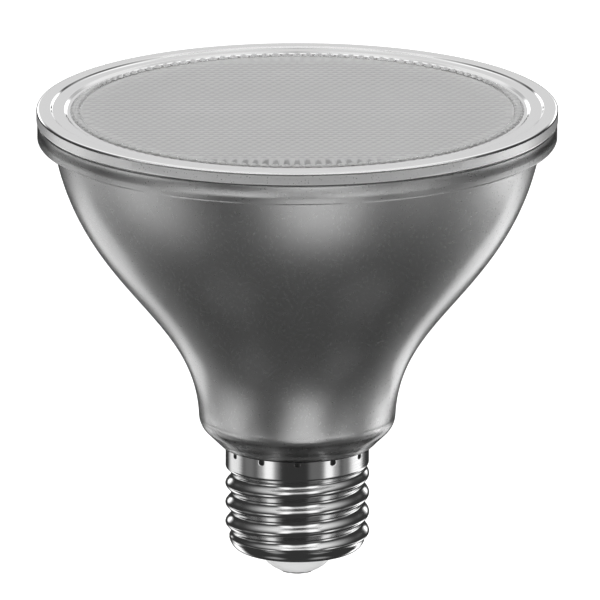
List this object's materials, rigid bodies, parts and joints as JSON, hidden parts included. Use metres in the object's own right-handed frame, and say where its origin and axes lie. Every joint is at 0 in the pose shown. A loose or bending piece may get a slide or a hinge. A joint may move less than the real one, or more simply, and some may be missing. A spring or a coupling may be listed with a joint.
{
  "type": "reflector spotlight bulb",
  "caption": "Reflector spotlight bulb: a silvered glass bowl with a flange, a glass lens over an LED board, a driver in the neck and a screw cap.",
  "frame": {"origin": "on the bulb's axis, at the end face of the centre contact", "axes": "+Z along the bulb's axis from the cap towards the lens; X and Y across it"},
  "size_m": [0.095, 0.095, 0.0875],
  "materials": {
    "lens_glass": "pressed clear glass with small lenticules",
    "rim_bond": "thin dark silicone bond",
    "silvered_glass": "glass silvered on its inner face, satin grey seen from outside",
    "spreader_aluminium": "pressed aluminium",
    "pad_silicone": "soft silicone pad",
    "white_solder_mask": "white lacquer on aluminium board",
    "led_phosphor": "yellow phosphor gel in a white frame",
    "screw_steel": "zinc plated",
    "housing_plastic": "white moulded plastic",
    "board_laminate": "green lacquered laminate",
    "ferrite": "ground ferrite",
    "winding_tape": "yellow winding tape",
    "capacitor_sleeve": "shrunk sleeve",
    "film_case": "moulded case",
    "chip_epoxy": "moulded epoxy",
    "resistor_coat": "flameproof coating",
    "varistor_coat": "dipped coating",
    "brown_sleeve": "extruded sleeve",
    "blue_sleeve": "extruded sleeve",
    "red_sleeve": "extruded sleeve",
    "black_sleeve": "extruded sleeve",
    "cap_nickel": "bright nickel plating on rolled sheet",
    "cap_white": "white insulating plug",
    "contact_nickel": "nickel plated, slightly dull"
  },
  "bodies": {
    "root": {"front_lens": "lens_glass", "rim_adhesive": "rim_bond", "reflector_bowl": "silvered_glass", "heat_spreader": "spreader_aluminium", "thermal_pad": "pad_silicone", "led_board": "white_solder_mask", "led_packages": "led_phosphor", "board_screws": "screw_steel", "driver_housing": "housing_plastic", "driver_board": "board_laminate", "choke_core": "ferrite", "choke_winding": "winding_tape", "bulk_capacitor": "capacitor_sleeve", "film_capacitor": "film_case", "bridge_rectifier": "chip_epoxy", "driver_chip": "chip_epoxy", "fusible_resistor": "resistor_coat", "varistor": "varistor_coat", "live_lead": "brown_sleeve", "neutral_lead": "blue_sleeve", "led_lead_positive": "red_sleeve", "led_lead_negative": "black_sleeve", "cap_shell": "cap_nickel", "cap_insulator": "cap_white", "centre_contact": "contact_nickel"}
  },
  "joints": []
}
